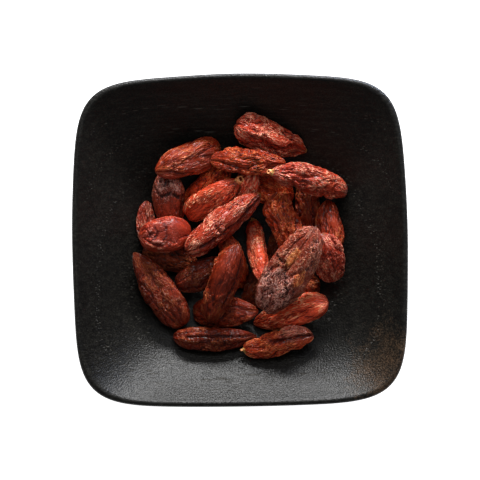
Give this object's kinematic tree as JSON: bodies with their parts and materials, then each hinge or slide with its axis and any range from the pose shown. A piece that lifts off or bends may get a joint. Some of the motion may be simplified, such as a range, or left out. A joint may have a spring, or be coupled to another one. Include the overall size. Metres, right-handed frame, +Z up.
{
  "type": "bowl of dried goji berries",
  "caption": "Small soft-square black-stained wooden dish holding a loose heap of long, wrinkled dried goji berries in reds and browns.",
  "frame": {"origin": "middle of the bowl's flat foot, on the surface it stands on", "axes": "+Z up; X and Y along the bowl's sides, -Y towards the lower edge of the picture and +X towards its right"},
  "size_m": [0.0706, 0.07, 0.0249],
  "materials": {
    "bowl_wood": "satin",
    "skin_red": "satin",
    "skin_bright": "satin",
    "skin_rose": "satin",
    "skin_dark": "satin",
    "skin_plum": "satin"
  },
  "bodies": {
    "root": {"bowl": "bowl_wood", "berry_01": "skin_dark", "berry_02": "skin_dark", "berry_03": "skin_red", "berry_04": "skin_red", "berry_05": "skin_red", "berry_06": "skin_rose", "berry_07": "skin_red", "berry_08": "skin_dark", "berry_09": "skin_red", "berry_10": "skin_dark", "berry_11": "skin_red", "berry_12": "skin_red", "berry_13": "skin_rose", "berry_14": "skin_plum", "berry_15": "skin_red", "berry_16": "skin_red", "berry_17": "skin_rose", "berry_18": "skin_red", "berry_19": "skin_red", "berry_20": "skin_bright", "berry_21": "skin_red", "berry_22": "skin_rose", "berry_23": "skin_red", "berry_24": "skin_rose", "berry_25": "skin_red", "berry_26": "skin_bright", "berry_27": "skin_rose", "berry_28": "skin_bright", "berry_29": "skin_rose", "berry_30": "skin_red", "berry_31": "skin_plum"}
  },
  "joints": []
}
